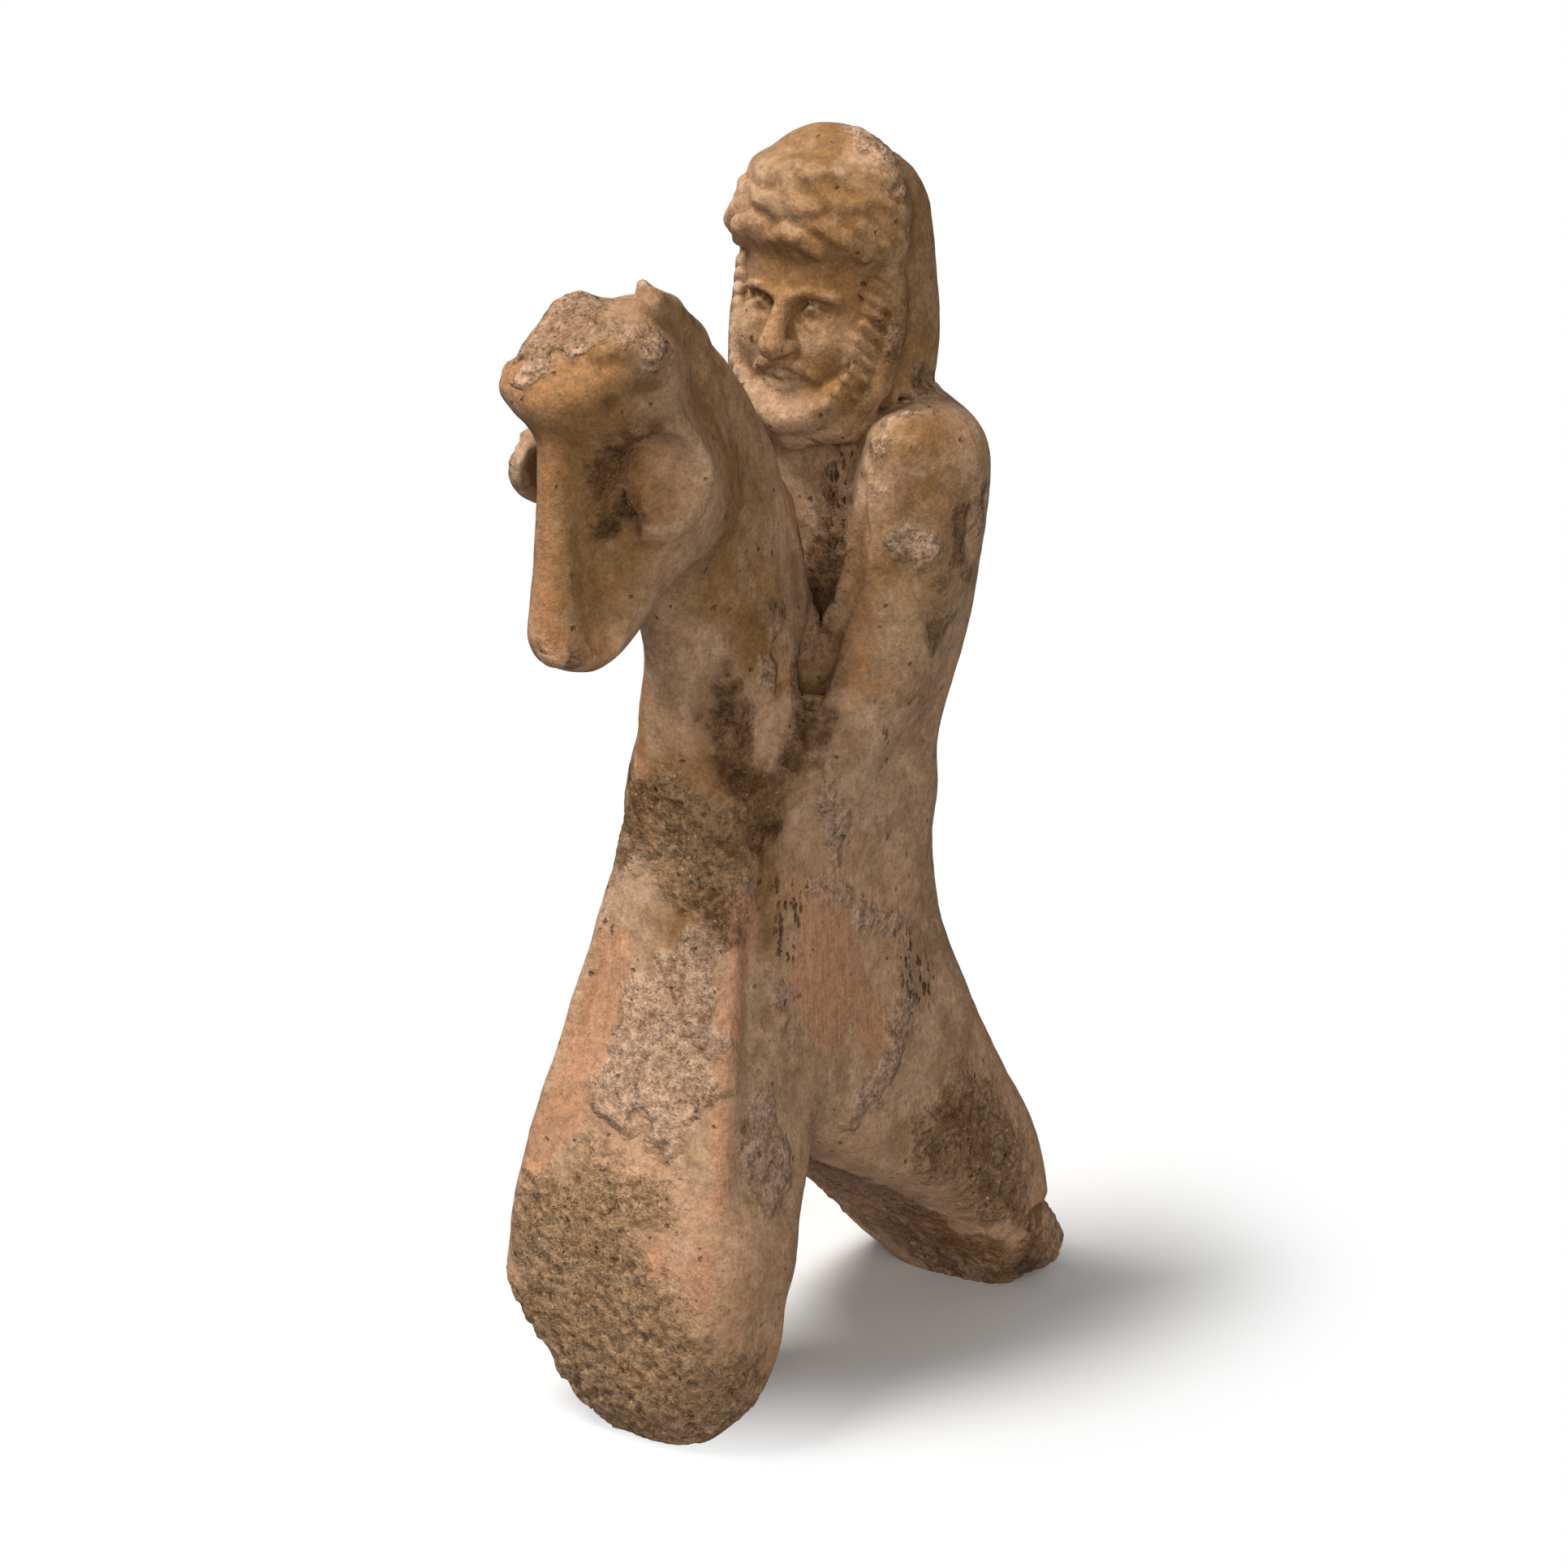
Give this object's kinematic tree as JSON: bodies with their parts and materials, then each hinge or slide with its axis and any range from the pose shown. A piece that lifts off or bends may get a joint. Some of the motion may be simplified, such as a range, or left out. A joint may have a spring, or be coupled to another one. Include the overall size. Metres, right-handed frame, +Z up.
{
  "type": "terracotta horse and rider",
  "caption": "Hand-made fired-clay horse standing on broad slab feet, with a bearded rider in a soft cap leaning against its neck.",
  "frame": {"origin": "middle of the figure's bounding box, on the ground under its two flat soles", "axes": "+Z up to the crown of the rider's cap, -Y the way horse and rider face, +X to the horse's own left"},
  "size_m": [0.0414, 0.0866, 0.1502],
  "materials": {
    "terracotta": "dry, matt, pitted buff fired clay with worn orange patches, pale lime crust and soil in the hollows"
  },
  "bodies": {
    "root": {"horse_and_rider": "terracotta"}
  },
  "joints": []
}
